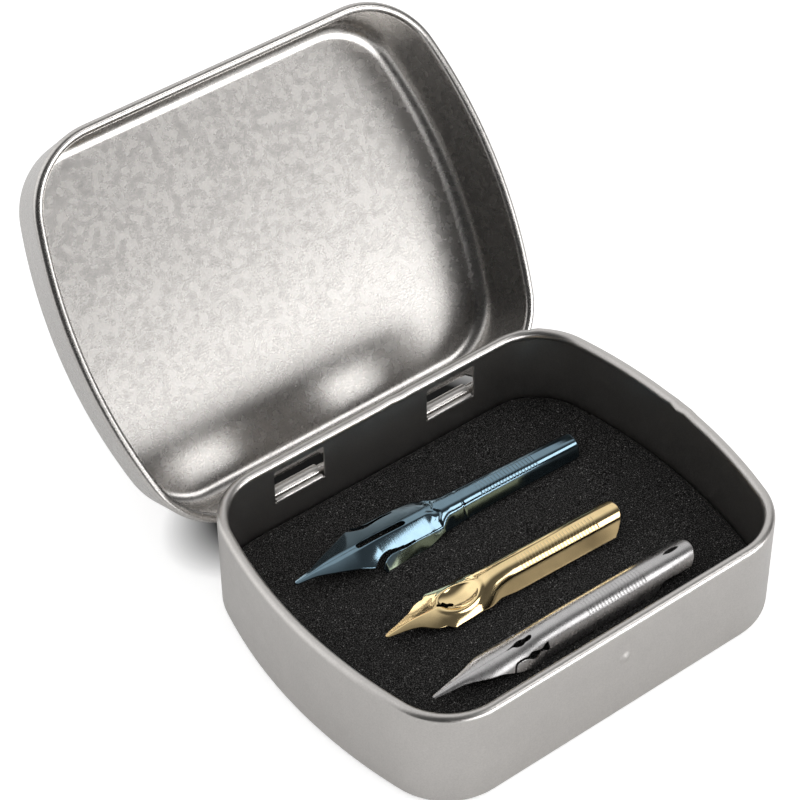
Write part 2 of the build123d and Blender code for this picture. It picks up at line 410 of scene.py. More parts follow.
def make_lid_shell(tin, material):
    plan = Plan(tin)
    wall = lid_section(tin, plan)
    plan.run_round(wall)
    close_hole(wall)
    middle_y = HINGE_Y + tin.lid_roll_radius - plan.half_width - tin.lid_overhang
    shift = Vector(((LID_LOW.x + LID_HIGH.x) / 2, middle_y, 0))
    bmesh.ops.translate(wall, verts=wall.verts, vec=shift)
    slots = list(window_boxes(tin, tin.slot_width, HINGE_Z + 0.15 * MM, HINGE_Z + tin.slot_height, shift.x))
    for low, high in slots:
        cut_opening(wall, low, high)
    shell = thickened(wall, tin.sheet, -1)
    for low, high in slots:
        round_corners(shell, low, high, tin.slot_corner)
    bmesh.ops.rotate(shell, verts=shell.verts, cent=(0, HINGE_Y, HINGE_Z),
                     matrix=Matrix.Rotation(-OPEN_ANGLE, 3, "X"))
    piece = as_object(shell, "tin_lid")
    finish_metal(piece, "lid", material, 0.03 * MM, ["lid_shell"])


# ---------------------------------------------------------------- the foam bed
def make_foam_bed(tin, material):
    """The foam pad: soft top edge, and a top that rises and falls a little."""
    plan = Plan(tin)
    x, y = -plan.corner_x, FOAM_HIGH.y
    bottom, top = FOAM_LOW.z, FOAM_HIGH.z - 0.05 * MM
    under, soft = tin.edge_radius - tin.sheet, 0.45 * MM
    pen = Pen((x, y - under - 0.3 * MM, bottom))
    pen.line((x, y - under, bottom))
    pen.arc(y - under, bottom + under, 90, 5)
    pen.line((x, y, top - soft), 2)
    pen.arc(y - soft, top - soft, 90, 5)
    plan.run_round(pen.bm)
    bm = pen.bm
    for level in (bottom, top):
        rim = [e for e in bm.edges if e.is_boundary and abs(e.verts[0].co.z - level) < 0.01 * MM]
        bmesh.ops.edgeloop_fill(bm, edges=rim)
    pitch = 1.0 * MM
    for axis, half in ((0, plan.half_length), (1, plan.half_width)):
        for step in range(int(-half / pitch), int(half / pitch) + 1):
            faces = [f for f in bm.faces if f.calc_center_median().z > top - 0.01 * MM]
            slice_faces(bm, faces, axis, step * pitch)
    for v in bm.verts:
        if v.co.z > top - 0.01 * MM:
            v.co.z += 0.045 * MM * noise.noise(v.co * 420)
    bmesh.ops.recalc_face_normals(bm, faces=bm.faces)
    piece = as_object(bm, "foam_bed")
    piece.data.materials.append(material)
    piece.data.shade_smooth()
    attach(piece, "base")
    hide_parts("foam_pad")


# ---------------------------------------------------------------- the nibs
# Stations of each nib: distance from the tip, outside radius, half wrap in degrees, height of the crown.
BLUE_STATIONS = [(0.0, 0.40, 38, 1.80), (2.3, 0.97, 38, 2.05), (4.9, 2.50, 38, 2.30),
                 (7.8, 4.20, 37.5, 2.45), (10.2, 5.70, 36, 2.54), (11.3, 4.90, 58, 2.58),
                 (13.0, 4.70, 61, 2.60), (16.5, 4.30, 64, 2.60), (20.0, 2.70, 80, 2.60),
                 (22.5, 1.75, 118, 2.60), (42.2, 1.42, 118, 2.40)]
# Slopes in degrees of the blued nib's flanks: distance from the tip, at the ridge, shoulder and wing.
BLUE_FAR = [(0.0, 20, 20, 20), (5.0, 17, 18, 18), (7.8, 13, 17, 17), (10.2, 11, 15, 15), (11.3, 11, 15, 50),
            (16.5, 11, 18, 58), (19.0, 12, 26, 60)]
BLUE_NEAR = [(0.0, 14, 15, 15), (5.0, 14, 17, 17), (7.8, 15, 20, 20), (10.2, 23, 29, 29), (11.3, 27, 33, 58),
             (16.5, 29, 36, 63), (19.0, 30, 37, 60)]
GOLD_STATIONS = [(0.0, 0.45, 30, 1.40), (4.0, 2.50, 29, 1.80), (7.0, 6.50, 23.5, 1.62),
                 (8.6, 3.90, 49, 1.60), (12.0, 4.00, 47, 1.75), (15.4, 2.45, 85, 2.60),
                 (18.0, 2.35, 100, 2.80), (34.7, 2.35, 100, 2.80)]
# Slopes in degrees of the gilt nib's flanks: distance from the tip, at the ridge, at the edge.
GOLD_SLOPES = [(0.0, 14, 16), (5.0, 13, 17), (7.0, 9, 22), (8.6, 3, 30), (12.0, 2, 40), (15.4, 2, 54)]
GREY_STATIONS = [(0.0, 0.40, 38, 1.35), (4.0, 1.60, 32, 1.80), (8.0, 3.30, 37, 1.98), (11.6, 3.00, 64, 2.10),
                 (15.4, 2.45, 91, 2.50), (20.4, 2.43, 96, 2.70), (38.9, 2.43, 98, 2.80)]
# The blank's map: units to a metre, and where the middle line runs.
BLANK_SCALE = 20
BLANK_MIDDLE = 0.5
# Cut lines on the flat blank: distance from the tip, distance across from the middle line, width of the cut.
BLUE_SLOT = [(8.95, 0.03, 0.3), (9.25, 0.03, 0.75), (10.5, 0.03, 0.8), (12.2, 0.02, 0.8), (14.0, 0.01, 0.8),
             (15.6, 0.0, 0.78), (15.95, 0.0, 0.6), (16.15, 0.0, 0.25)]
BLUE_GAP = [(9.3, -4.6, 1.1), (10.15, -3.72, 1.1), (10.9, -3.15, 1.0), (11.6, -2.75, 0.85),
            (12.4, -2.62, 0.6), (13.4, -2.72, 0.42), (14.5, -2.84, 0.4), (15.5, -2.80, 0.32),
            (16.05, -2.74, 0.25)]
GOLD_CROSS = [(7.5, 0.12, 0.2), (7.85, 0.12, 0.6), (8.2, 0.06, 0.55), (8.6, -0.02, 1.2), (9.0, -0.1, 0.6),
              (9.4, -0.18, 0.65), (9.75, -0.22, 0.25)]
GREY_CLUB = [(10.86, 0.03, 0.1), (11.7, 0.08, 0.25), (12.2, 0.0, 0.75), (12.8, -0.05, 0.95),
             (13.4, -0.08, 0.62), (13.9, -0.08, 0.62), (14.25, 0.0, 0.5), (14.45, 0.02, 0.12)]
GREY_SIDE = [(10.1, -3.4, 0.25), (10.35, -2.8, 0.25), (10.8, -2.15, 0.25), (11.5, -1.98, 0.25),
             (12.1, -2.02, 0.25), (12.65, -2.15, 0.35), (13.2, -2.2, 0.85), (13.7, -2.3, 0.9),
             (14.3, -2.25, 0.42), (14.8, -2.25, 0.4), (15.3, -2.25, 0.9), (15.7, -2.3, 1.05)]
GREY_TAIL_HOLE = [(35.1, 0.4, 0.12), (35.8, 0.42, 0.6), (36.5, 0.45, 0.7), (37.1, 0.4, 0.45),
                  (37.4, 0.4, 0.1)]
GREY_TAIL_SIDE = [(32.3, -4.2, 0.3), (33.2, -3.6, 1.6), (36.0, -3.6, 1.6), (39.5, -3.6, 1.7)]


def eased(stations, along):
    """Radius, half wrap and crown height at this distance from the tip, smooth through the stations."""
    last = len(stations) - 2
    i = next((k for k in range(last + 1) if along < stations[k + 1][0]), last)

    def slope(k, column):
        """Slope at a station, flat where the values turn, so that nothing overshoots."""
        if k in (0, last + 1):
            near = min(k, last)
            return rise(near, column)
        before, after = rise(k - 1, column), rise(k, column)
        if before * after <= 0:
            return 0.0
        h0 = stations[k][0] - stations[k - 1][0]
        h1 = stations[k + 1][0] - stations[k][0]
        w0, w1 = 2 * h1 + h0, h1 + 2 * h0
        return (w0 + w1) / (w0 / before + w1 / after)

    def rise(k, column):
        return (stations[k + 1][column] - stations[k][column]) / (stations[k + 1][0] - stations[k][0])

    span = stations[i + 1][0] - stations[i][0]
    t = (along - stations[i][0]) / span
    values = []
    for column in (1, 2, 3):
        a, b = stations[i][column], stations[i + 1][column]
        ma, mb = slope(i, column) * span, slope(i + 1, column) * span
        values.append((2 * t ** 3 - 3 * t ** 2 + 1) * a + (t ** 3 - 2 * t ** 2 + t) * ma
                      + (3 * t ** 2 - 2 * t ** 3) * b + (t ** 3 - t ** 2) * mb)
    return values


class Section:
    """Half a section of formed sheet: how far along the sheet from the middle, and its slope there."""

    def __init__(self, bends):
        self.bends = [(run, math.radians(slope)) for run, slope in bends]

    def at(self, share):
        """Sideways, drop and slope at this share of the way from the middle line to the edge."""
        run = abs(share) * self.bends[-1][0]
        sideways, drop, slope = 0.0, 0.0, self.bends[0][1]
        for (start, before), (end, after) in zip(self.bends, self.bends[1:]):
            if run <= start:
                break
            part = min(run, end) - start
            slope = before + (after - before) * part / (end - start)
            chord, middle = part * (1 - (slope - before) ** 2 / 24), (before + slope) / 2
            sideways += chord * math.cos(middle)
            drop += chord * math.sin(middle)
        return Vector((math.copysign(sideways, share), drop, math.copysign(slope, share)))


def rounded(radius, wrap, steepest=180.0, flat=0.0, flank=1.0):
    """A round section whose flanks go straight once they are this steep; flat is an angle too."""
    degree = math.radians(radius)
    bent = min(steepest, wrap - flat)
    beyond = max(0.0, wrap - flat - bent) * flank
    return Section([(0.0, 0.0), (flat * degree + 1e-6, 0.0), ((flat + bent) * degree + 2e-6, bent),
                    ((flat + bent + beyond) * degree + 3e-6, bent)])


def read_row(rows, along):
    """The row of a table at this distance from the tip, between its rows."""
    for (start, *first), (end, *second) in zip(rows, rows[1:]):
        if along <= end:
            share = min(1.0, max(0.0, (along - start) / (end - start)))
            return [a + (b - a) * share for a, b in zip(first, second)]
    return rows[-1][1:]


class Nib:
    """A nib cut as a flat blank, pierced, and then formed over its stations."""

    def __init__(self, name, stations, tip, turn, tail_bow, fold, along_pitch=0.16, across_steps=56):
        self.name, self.stations, self.tip, self.turn, self.tail_bow = name, stations, tip, turn, tail_bow
        self.fold, self.along_pitch, self.across_steps = fold, along_pitch, across_steps
        self.length = stations[-1][0]
        self.cuts = []

    def blank(self, sheet):
        """The flat blank, x from tip to tail and y across it, with its thickness below z = 0."""
        bm = bmesh.new()
        steps = int(self.length / self.along_pitch)
        bmesh.ops.create_grid(bm, x_segments=steps, y_segments=self.across_steps, size=0.5)
        for v in bm.verts:
            share, side = v.co.x + 0.5, 2 * v.co.y
            first = 0.22 * (1 - math.sqrt(max(0.0, 1 - side ** 2)))
            along = first + share * (self.length - self.tail_bow * side ** 2 - first)
            radius, wrap, _ = eased(self.stations, along)
            v.co = Vector((along, side * radius * math.radians(wrap), 0)) * MM
        return thickened_flat(bm, sheet)

    def cut(self, points, mirrored=False):
        """Adds a cut along a line on the blank, and the same on the other side."""
        for side in ((1, -1) if mirrored else (1,)):
            self.cuts.append([(along, side * across, width) for along, across, width in points])

    def pierced(self, sheet):
        """The blank with its cuts made."""
        piece = as_object(self.blank(sheet), self.name)
        for points in self.cuts:
            cutter = as_object(ribbon(points), "cutter")
            cut = piece.modifiers.new("Cut", "BOOLEAN")
            cut.object = cutter
            cut.operation = "DIFFERENCE"
            cut.solver = "EXACT"
            apply_modifiers(piece)
            remove(cutter)
        return piece

    def form(self, piece, shape, rest_height):
        """Bends the flat blank over its stations and lays it on the foam; shape moves the sheet further."""
        turn = Matrix.Rotation(math.radians(self.turn), 3, "Z")
        place = Vector((self.tip[0] * MM, self.tip[1] * MM, rest_height))
        uv = piece.data.uv_layers.new(name="blank")
        for loop in piece.data.loops:
            co = piece.data.vertices[loop.vertex_index].co
            uv.data[loop.index].uv = (co.x * BLANK_SCALE, co.y * BLANK_SCALE + BLANK_MIDDLE)
        for v in piece.data.vertices:
            along, across, proud = (c / MM for c in v.co)
            radius, wrap, crown = eased(self.stations, along)
            half = radius * math.radians(wrap)
            sideways, drop, slope = self.fold(along, radius, wrap, across > 0).at(across / half)
            out = Vector((0, math.sin(slope), math.cos(slope)))
            point = Vector((along, sideways, crown - drop)) + proud * out
            point += shape(along, across, slope)
            v.co = turn @ (point * MM) + place
        piece.data.update()


def thickened_flat(bm, sheet):
    """A flat blank's thickness, below its face."""
    if bm.faces[:][0].normal.z < 0:
        bmesh.ops.reverse_faces(bm, faces=bm.faces)
    faces = bmesh.ops.extrude_face_region(bm, geom=bm.faces[:])
    lower = [v for v in faces["geom"] if isinstance(v, bmesh.types.BMVert)]
    bmesh.ops.translate(bm, verts=lower, vec=(0, 0, -sheet))
    bmesh.ops.recalc_face_normals(bm, faces=bm.faces)
    return bm


def smooth_line(points, steps=6):
    """The cut line's points with even curves between them."""
    ends = [points[0]] + points + [points[-1]]
    for before, first, second, after in zip(ends, ends[1:], ends[2:], ends[3:]):
        for step in range(steps):
            t = step / steps
            yield tuple(0.5 * (2 * b + (c - a) * t + (2 * a - 5 * b + 4 * c - d) * t ** 2
                               + (3 * b - a - 3 * c + d) * t ** 3)
                        for a, b, c, d in zip(before, first, second, after))
    yield points[-1]


def ribbon(points):
    """A cutter that follows a line on the blank, as wide as each point says."""
    line = list(smooth_line(points))
    bm = bmesh.new()
    edge = None
    for i, (along, across, width) in enumerate(line):
        before, after = line[max(0, i - 1)], line[min(len(line) - 1, i + 1)]
        way = Vector((after[0] - before[0], after[1] - before[1], 0)).normalized()
        middle, half = Vector((along, across, -1)) * MM, Vector((-way.y, way.x, 0)) * width / 2 * MM
        if edge is None:
            ends = [bmesh.ops.create_vert(bm, co=middle + side * half)["vert"][0] for side in (1, -1)]
            edge = bm.edges.new(ends)
        else:
            made = bmesh.ops.extrude_edge_only(bm, edges=[edge])["geom"]
            edge = next(e for e in made if isinstance(e, bmesh.types.BMEdge))
            for vert, side in zip(ordered(edge, way), (1, -1)):
                vert.co = middle + side * half
    faces = bmesh.ops.extrude_face_region(bm, geom=bm.faces[:])
    upper = [v for v in faces["geom"] if isinstance(v, bmesh.types.BMVert)]
    bmesh.ops.translate(bm, verts=upper, vec=(0, 0, 2 * MM))
    bmesh.ops.recalc_face_normals(bm, faces=bm.faces)
    return bm


def ordered(edge, way):
    """The edge's two vertices, the one on the left of the way first."""
    first, second = edge.verts
    left = Vector((-way.y, way.x, 0))
    return (first, second) if (first.co - second.co).dot(left) > 0 else (second, first)


def bell(value):
    """1 at 0, falling smoothly to 0 at 1."""
    return (1 - value ** 2) ** 2 if abs(value) < 1 else 0.0


def step(value, start, end):
    """0 before start and 1 after end, smooth between."""
    share = min(1.0, max(0.0, (value - start) / (end - start)))
    return share * share * (3 - 2 * share)


class Blend:
    """A section between two sections."""

    def __init__(self, first, second, share):
        self.first, self.second, self.share = first, second, share

    def at(self, share):
        return self.first.at(share).lerp(self.second.at(share), self.share)


def make_nib(nib, nibs, shape, body, material, node):
    piece = nib.pierced(nibs.sheet)
    nib.form(piece, shape, FOAM_HIGH.z + nibs.rest_gap)
    finish_metal(piece, body, material, 0.025 * MM, [node], sharp=45)
    return piece


def make_blue_nib(nibs, material):
    """Blued nib: slot, two side gaps with wings, and a waist with a pressed crease."""
    def fold(along, radius, wrap, far):
        ridge, shoulder, wing = read_row(BLUE_FAR if far else BLUE_NEAR, along)
        edge = radius * math.radians(wrap)
        flat = min(0.38, 0.2 * edge)
        gap = min(3.0 if far else 2.75, 0.9 * edge)
        body = Section([(0, 0), (flat, 0), (1.5 * flat, ridge), (gap, shoulder),
                        (gap + 0.05 * edge, wing), (edge, wing)])
        shank = rounded(0.853 * radius, wrap / 0.853, 66, 14)
        return Blend(body, shank, step(along, 18.5, 22.0))

    nib = Nib("blue_nib", BLUE_STATIONS, (-20.6, 12.6), -2.2, 0.3, fold, 0.12, 64)
    nib.cut(BLUE_SLOT)
    nib.cut([(-0.2, 0, 0.03), (9.1, 0, 0.03)])
    nib.cut(BLUE_GAP, mirrored=True)

    def shape(along, across, slope):
        turned = across / 2.7
        behind = along - 20.15 - 0.55 * bell(abs(turned / math.radians(22)) - 1)
        crease = step(behind, -1.7, -0.1) ** 2 * (1 - step(behind, 0.0, 0.18))
        pinch = crease * bell(turned / math.radians(95))
        ring = 0.05 * bell((along - 24.1) / 0.2)
        lower = 0.19 * step(along, 19.0, 23.0)
        inwards = Vector((0, -math.sin(slope), -math.cos(slope)))
        return inwards * (0.24 * pinch + ring) - Vector((0, 0, lower))

    make_nib(nib, nibs, shape, "blue_nib", material, "nib_blue")


def make_gold_nib(nibs, material):
    """Gilt nib: ball point, cross-shaped hole and an oval dish pressed behind it."""
    def fold(along, radius, wrap, far):
        ridge, edge = read_row(GOLD_SLOPES, along)
        half = radius * math.radians(wrap)
        front = Section([(0, 0), (0.12, ridge), (half, edge)])
        return Blend(front, rounded(radius, wrap, 54, 0, 0.84), step(along, 10.5, 17.0))

    nib = Nib("gold_nib", GOLD_STATIONS, (-17.0, -0.6), -2.0, 2.1, fold, 0.1, 72)
    nib.cut(GOLD_CROSS)
    nib.cut([(-0.2, 0, 0.03), (7.7, 0.1, 0.03)])

    def shape(along, across, slope):
        away = math.hypot((along - 10.6) / 2.75, (across - 0.05) / 1.85)
        dish = -0.8 * (1 - away ** 2) if away < 1 else 0
        return Vector((0, 0, dish + 0.07 * bell((away - 1.1) / 0.2)))

    make_nib(nib, nibs, shape, "gold_nib", material, "nib_gold")


def make_grey_nib(nibs, material):
    """Plain nib: club-shaped hole, two curved side cuts, a small hole and notched sides near the tail."""
    def fold(along, radius, wrap, far):
        return rounded(radius, wrap)

    nib = Nib("grey_nib", GREY_STATIONS, (-18.4, -11.4), -1.2, 3.2, fold)
    nib.cut(GREY_CLUB)
    nib.cut([(-0.2, 0, 0.03), (10.9, 0.03, 0.03)])
    nib.cut(GREY_SIDE, mirrored=True)
    nib.cut(GREY_TAIL_HOLE)
    nib.cut(GREY_TAIL_SIDE, mirrored=True)

    def shape(along, across, slope):
        return Vector((0, 0, 0))

    make_nib(nib, nibs, shape, "grey_nib", material, "nib_grey")


# ---------------------------------------------------------------- finishes
class Recipe:
    """A new material and short ways to add and join its nodes."""

    def __init__(self, name, colour, metallic, roughness):
        self.material = bpy.data.materials.new(name)
        self.material.use_nodes = True
        self.tree = self.material.node_tree
        self.shader = self.tree.nodes["Principled BSDF"]
        self.shader.inputs["Base Color"].default_value = (*colour, 1)
        self.shader.inputs["Metallic"].default_value = metallic
        self.shader.inputs["Roughness"].default_value = roughness

    def node(self, kind, **values):
        """A node with the values of its inputs."""
        made = self.tree.nodes.new(kind)
        for socket, value in values.items():
            made.inputs[socket.replace("_", " ")].default_value = value
        return made

    def join(self, output, socket):
        self.tree.links.new(output, socket)

    def place(self, scale=(1, 1, 1), source="Object"):
        """Where on the piece a pattern is read, stretched by scale."""
        mapping = self.node("ShaderNodeMapping", Scale=scale)
        self.join(self.node("ShaderNodeTexCoord").outputs[source], mapping.inputs["Vector"])
        return mapping.outputs["Vector"]

    def noise(self, place, scale, detail=2.0, roughness=0.5):
        made = self.node("ShaderNodeTexNoise", Scale=scale, Detail=detail, Roughness=roughness)
        self.join(place, made.inputs["Vector"])
        return made.outputs["Fac"]

    def ramp(self, value, low, high, start=0.0, end=1.0):
        """The value from start to end spread over low to high, which are numbers."""
        made = self.node("ShaderNodeMapRange", From_Min=start, From_Max=end, To_Min=low, To_Max=high)
        self.join(value, made.inputs["Value"])
        return made.outputs["Result"]

    def combine(self, operation, first, second):
        """Two values put together by this operation."""
        made = self.node("ShaderNodeMath")
        made.operation = operation
        self.join(first, made.inputs[0])
        self.join(second, made.inputs[1])
        return made.outputs[0]

    def band(self, value, start, end, soft):
        """1 where the value lies between start and end, and 0 outside."""
        return self.combine("MULTIPLY", self.ramp(value, 0.0, 1.0, start - soft, start + soft),
                            self.ramp(value, 1.0, 0.0, end - soft, end + soft))

    def blend(self, value, first, second):
        """A colour between two colours."""
        made = self.tree.nodes.new("ShaderNodeMix")
        made.data_type = "RGBA"
        made.inputs[6].default_value = (*first, 1)
        made.inputs[7].default_value = (*second, 1)
        self.join(value, made.inputs[0])
        return made.outputs[2]

    def bump(self, height, distance, strength=1.0, after=None):
        made = self.node("ShaderNodeBump", Strength=strength, Distance=distance)
        self.join(height, made.inputs["Height"])
        if after:
            self.join(after, made.inputs["Normal"])
        return made.outputs["Normal"]


RIB_SIZE = 0.8  # millimetres; the ribs of a nib's plain band scale with it


def shade(colour, factor):
    return tuple(min(1.0, c * factor) for c in colour)


def tinplate(finishes, name, roughness, grain_depth, speckle):
    """Satin tinplate: soft mottling, and a fine speckled orange-peel grain."""
    recipe = Recipe(name, finishes.tinplate, 1.0, roughness)
    place = recipe.place()
    mottle = recipe.noise(place, 260, 3)
    fleck = recipe.ramp(recipe.noise(place, 4600, 2, 0.6), 0.0, 1.0, 0.3, 0.7)
    tone = recipe.node("ShaderNodeMath")
    tone.operation = "MULTIPLY_ADD"
    recipe.join(fleck, tone.inputs[0])
    tone.inputs[1].default_value = speckle
    recipe.join(recipe.ramp(mottle, 0.4 - 0.5 * speckle, 0.6 - 0.5 * speckle), tone.inputs[2])
    recipe.join(recipe.blend(tone.outputs[0], shade(finishes.tinplate, 0.7), shade(finishes.tinplate, 1.3)),
                recipe.shader.inputs["Base Color"])
    recipe.join(recipe.ramp(recipe.noise(place, 900, 2), 0.8 * roughness, 1.2 * roughness),
                recipe.shader.inputs["Roughness"])
    grain = recipe.bump(recipe.noise(place, 4200, 2, 0.6), grain_depth, 0.5)
    waves = recipe.bump(recipe.noise(place, 120, 1), 0.05 * MM, 0.25, grain)
    recipe.join(waves, recipe.shader.inputs["Normal"])
    return recipe.material


def foam(finishes):
    """Black open-cell foam: a coarse grain, and glints on the cell walls painted in as scattered pale
    specks.
    """
    recipe = Recipe("foam", finishes.foam, 0.0, 0.95)
    recipe.shader.inputs["Specular IOR Level"].default_value = 0.12
    place = recipe.place()
    cells = recipe.node("ShaderNodeTexVoronoi", Scale=9000)
    recipe.join(place, cells.inputs["Vector"])
    pick = recipe.node("ShaderNodeSeparateColor")
    recipe.join(cells.outputs["Color"], pick.inputs["Color"])
    # Painted highlights: a rare few cells of the fine pattern are painted pale, as glints.
    painted_glint = recipe.ramp(pick.outputs["Red"], 0.0, 0.6, 0.985, 1.0)
    walls = recipe.ramp(recipe.noise(place, 6500, 3, 0.8), 0.0, 0.4, 0.5, 0.72)
    pale = recipe.combine("MAXIMUM", painted_glint, walls)
    recipe.join(recipe.blend(pale, shade(finishes.foam, 0.2), (0.42, 0.41, 0.40)),
                recipe.shader.inputs["Base Color"])
    rough = recipe.bump(recipe.noise(place, 3600, 3, 0.7), 0.12 * MM, 0.9)
    recipe.join(rough, recipe.shader.inputs["Normal"])
    return recipe.material


def nib_metal(name, colour, roughness, cross_grain, ribs, far_painted_shade=1.0):
    """Bright nib metal: cloudy, ground across the blank, with one plain evenly ribbed band.

    ribs is where the band starts and ends along the nib and across it, in millimetres. The last
    argument is painted shade on the front half's far flank: it multiplies the colour there, darker below 1.
    """
    recipe = Recipe(name, colour, 1.0, roughness)
    to_mm = 1 / (BLANK_SCALE * MM)
    middle = BLANK_MIDDLE * to_mm
    blank = recipe.node("ShaderNodeSeparateXYZ")
    recipe.join(recipe.place((to_mm, to_mm, to_mm), "UV"), blank.inputs[0])
    along, across = blank.outputs["X"], blank.outputs["Y"]
    cloud = recipe.noise(recipe.place(), 700, 2)
    # Mask of the front half's far flank, where painted shade darkens the colour.
    far = recipe.combine("MULTIPLY", recipe.band(across, middle + 0.4, middle + 15, 0.15),
                         recipe.band(along, -5.0, 20.0, 1.0))
    # The cloudy colour, with painted shade on the far flank.
    with_painted_shade = recipe.tree.nodes.new("ShaderNodeMix")
    with_painted_shade.data_type = "RGBA"
    recipe.join(far, with_painted_shade.inputs[0])
    recipe.join(recipe.blend(cloud, shade(colour, 0.86), shade(colour, 1.1)), with_painted_shade.inputs[6])
    with_painted_shade.inputs[7].default_value = (*shade(colour, far_painted_shade), 1)
    recipe.join(with_painted_shade.outputs[2], recipe.shader.inputs["Base Color"])
    recipe.join(recipe.ramp(recipe.noise(recipe.place(), 1500, 2), roughness * 0.75, roughness * 1.3),
                recipe.shader.inputs["Roughness"])
    scratches = recipe.noise(recipe.place((1.0, 0.06, 1.0), "UV"), 420, 2)
    ground = recipe.bump(scratches, 0.008 * MM, cross_grain)
    start, end, low, high = ribs
    wave = recipe.node("ShaderNodeTexWave", Scale=0.52)
    recipe.join(recipe.place((to_mm / RIB_SIZE, to_mm / RIB_SIZE, 1), "UV"), wave.inputs["Vector"])
    inside = recipe.combine("MULTIPLY", recipe.band(along, start, end, 0.1),
                            recipe.band(across, middle + low, middle + high, 0.05))
    grooves = recipe.combine("MULTIPLY", recipe.ramp(wave.outputs["Fac"], -1.0, 0.0, 0.05, 0.35), inside)
    ribbed = recipe.bump(grooves, 0.03 * MM, 0.8, ground)
    recipe.join(recipe.bump(recipe.noise(recipe.place(), 2600, 2), 0.004 * MM, 0.4, ribbed),
                recipe.shader.inputs["Normal"])
    return recipe.material


# ---------------------------------------------------------------- the stage
def make_camera(look):
    data = bpy.data.cameras.new("view")
    data.sensor_width = 36
    data.lens = look.lens
    data.clip_start, data.clip_end = 0.01, 20
    camera = bpy.data.objects.new("view", data)
    turn = (Matrix.Rotation(look.azimuth, 4, "Z") @ Matrix.Rotation(math.pi / 2 - look.elevation, 4, "X")
            @ Matrix.Rotation(look.roll, 4, "Z"))
    camera.matrix_world = Matrix.Translation(look.eye) @ turn
    bpy.context.scene.collection.objects.link(camera)
    bpy.context.scene.camera = camera


def make_floor(look):
    """White floor that keeps the tin's soft shadow, with painted shade, a dark oval patch, behind the tin.

    The painted shade stands in for the shadow under the open lid, which shows through the hinge
    openings. It is not a cast shadow, and it stays in plain sight from behind and when the lid is shut.
    """
    bm = bmesh.new()
    bmesh.ops.create_grid(bm, x_segments=1, y_segments=1, size=look.floor_size / 2)
    floor = as_object(bm, "floor")
    recipe = Recipe("floor", (0.80, 0.80, 0.80), 0.0, 0.9)
    recipe.shader.inputs["Specular IOR Level"].default_value = 0.1
    glow = recipe.node("ShaderNodeEmission")
    path = recipe.node("ShaderNodeLightPath")
    under = recipe.node("ShaderNodeVectorMath")
    under.operation = "DISTANCE"
    under.inputs[1].default_value = HINGE_PAINTED_SHADE * Vector((0.0, 1.0, 0.0))
    recipe.join(recipe.place((0.5, 1.0, 1.0)), under.inputs[0])
    # Painted shade: within this soft oval under the hinge the floor's colour goes dark and its glow goes
    # out.
    outside_painted_shade = recipe.ramp(under.outputs["Value"], 0.0, 1.0, 10 * MM, 14 * MM)
    lit = recipe.combine("MULTIPLY", path.outputs["Is Camera Ray"], recipe.ramp(outside_painted_shade, 0.0, 0.45))
    recipe.join(lit, glow.inputs["Strength"])
    # The dark colour is the painted shade under the hinge; the rest of the floor stays white.
    recipe.join(recipe.blend(outside_painted_shade, (0.03, 0.03, 0.03), (0.80, 0.80, 0.80)),
                recipe.shader.inputs["Base Color"])
    both = recipe.node("ShaderNodeAddShader")
    recipe.join(recipe.shader.outputs[0], both.inputs[0])
    recipe.join(glow.outputs[0], both.inputs[1])
    recipe.join(both.outputs[0], recipe.tree.nodes["Material Output"].inputs["Surface"])
    floor.data.materials.append(recipe.material)


def make_world():
    """Even light, a white backdrop, and a room for metal: pale behind, dim above, bright low in front."""
    world = bpy.data.worlds.new("studio")
    world.use_nodes = True
    bpy.context.scene.world = world
    tree = world.node_tree
    path = tree.nodes.new("ShaderNodeLightPath")
    split = tree.nodes.new("ShaderNodeSeparateXYZ")
    tree.links.new(tree.nodes.new("ShaderNodeTexCoord").outputs["Generated"], split.inputs[0])

    def level(axis, start, end, low, high):
        """A brightness that goes from low to high as the direction turns along an axis."""
        made = tree.nodes.new("ShaderNodeMapRange")
        made.interpolation_type = "SMOOTHSTEP"
        for socket, value in (("From Min", start), ("From Max", end), ("To Min", low), ("To Max", high)):
            made.inputs[socket].default_value = value
        tree.links.new(split.outputs[axis], made.inputs["Value"])
        return made.outputs["Result"]

    def choose(share, first, second):
        """First where the share is 0, second where it is 1, each a level or a socket."""
        made = tree.nodes.new("ShaderNodeMix")
        for socket, value in ((0, share), (2, first), (3, second)):
            if isinstance(value, (int, float)):
                made.inputs[socket].default_value = value
            else:
                tree.links.new(value, made.inputs[socket])
        return made.outputs[0]

    behind = level("Y", -0.06, 0.36, 0.0, 1.0)
    low = choose(level("Y", -0.72, -0.5, 0.0, 1.0), level("Z", 0.2, 0.43, 6.5, 0.0), 0.1)
    front = choose(level("X", -0.4, 0.1, 0.0, 1.0), 0.03, low)
    room = choose(behind, front, level("X", -0.5, 0.3, 1.25, 0.88))
    light = choose(path.outputs["Is Glossy Ray"], level("X", -0.6, 0.6, 1.15, 0.7), room)
    shown = choose(path.outputs["Is Camera Ray"], light, 1.0)
    tree.links.new(shown, tree.nodes["Background"].inputs["Color"])


def make_lamp(name, place, width, depth, radiance):
    """A soft panel that faces the tin and is this bright to look at."""
    data = bpy.data.lights.new(name, "AREA")
    data.shape = "RECTANGLE"
    data.size, data.size_y = width, depth
    data.energy = radiance * math.pi * width * depth
    lamp = bpy.data.objects.new(name, data)
    aim = (-Vector(place)).to_track_quat("-Z", "Y")
    lamp.matrix_world = Matrix.Translation(place) @ aim.to_matrix().to_4x4()
    bpy.context.scene.collection.objects.link(lamp)


